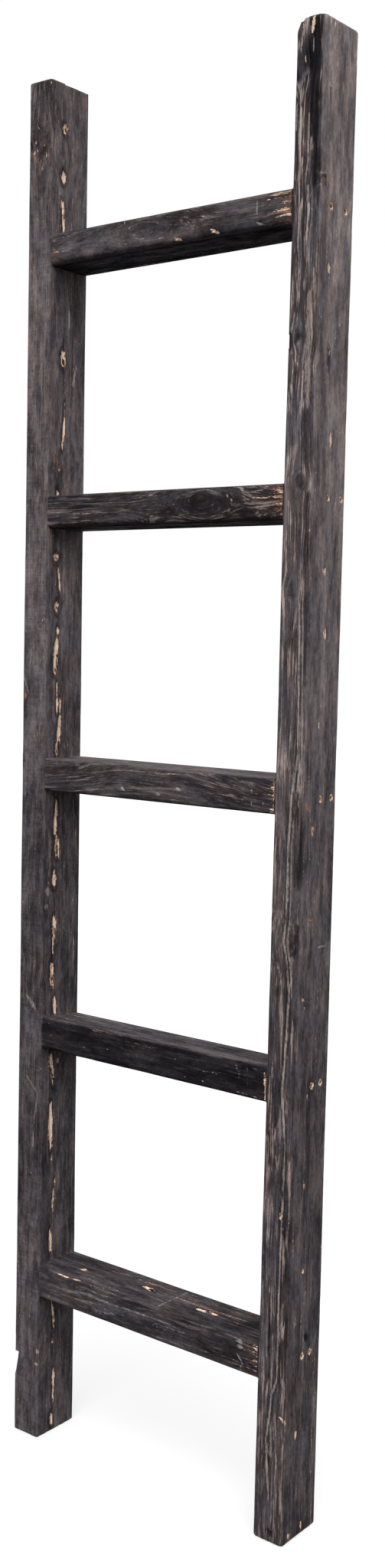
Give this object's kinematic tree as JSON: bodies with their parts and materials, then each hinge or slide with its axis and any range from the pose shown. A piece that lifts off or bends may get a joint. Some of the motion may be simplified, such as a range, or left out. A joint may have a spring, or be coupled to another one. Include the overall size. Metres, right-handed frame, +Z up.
{
  "type": "blanket ladder",
  "caption": "Leaning ladder of reclaimed timber with worn dark paint, for hanging blankets: rungs butted between two stiles and held by sunk screws.",
  "frame": {"origin": "on the floor, in the middle of the two feet", "axes": "+Z up the stiles, +X across the ladder to the viewer's right, -Y towards the front"},
  "size_m": [0.455, 0.0745, 1.809],
  "materials": {
    "stile_timber": "worn matt near-black paint over weathered softwood",
    "rung_timber": "worn matt near-black paint over weathered softwood",
    "screw_steel": "dulled yellow zinc plating"
  },
  "bodies": {
    "root": {"left_stile": "stile_timber", "right_stile": "stile_timber", "rung_1": "rung_timber", "rung_2": "rung_timber", "rung_3": "rung_timber", "rung_4": "rung_timber", "rung_5": "rung_timber", "screw_left_1_front": "screw_steel", "screw_left_1_back": "screw_steel", "screw_right_1_front": "screw_steel", "screw_right_1_back": "screw_steel", "screw_left_2_front": "screw_steel", "screw_left_2_back": "screw_steel", "screw_right_2_front": "screw_steel", "screw_right_2_back": "screw_steel", "screw_left_3_front": "screw_steel", "screw_left_3_back": "screw_steel", "screw_right_3_front": "screw_steel", "screw_right_3_back": "screw_steel", "screw_left_4_front": "screw_steel", "screw_left_4_back": "screw_steel", "screw_right_4_front": "screw_steel", "screw_right_4_back": "screw_steel", "screw_left_5_front": "screw_steel", "screw_left_5_back": "screw_steel", "screw_right_5_front": "screw_steel", "screw_right_5_back": "screw_steel"}
  },
  "joints": []
}
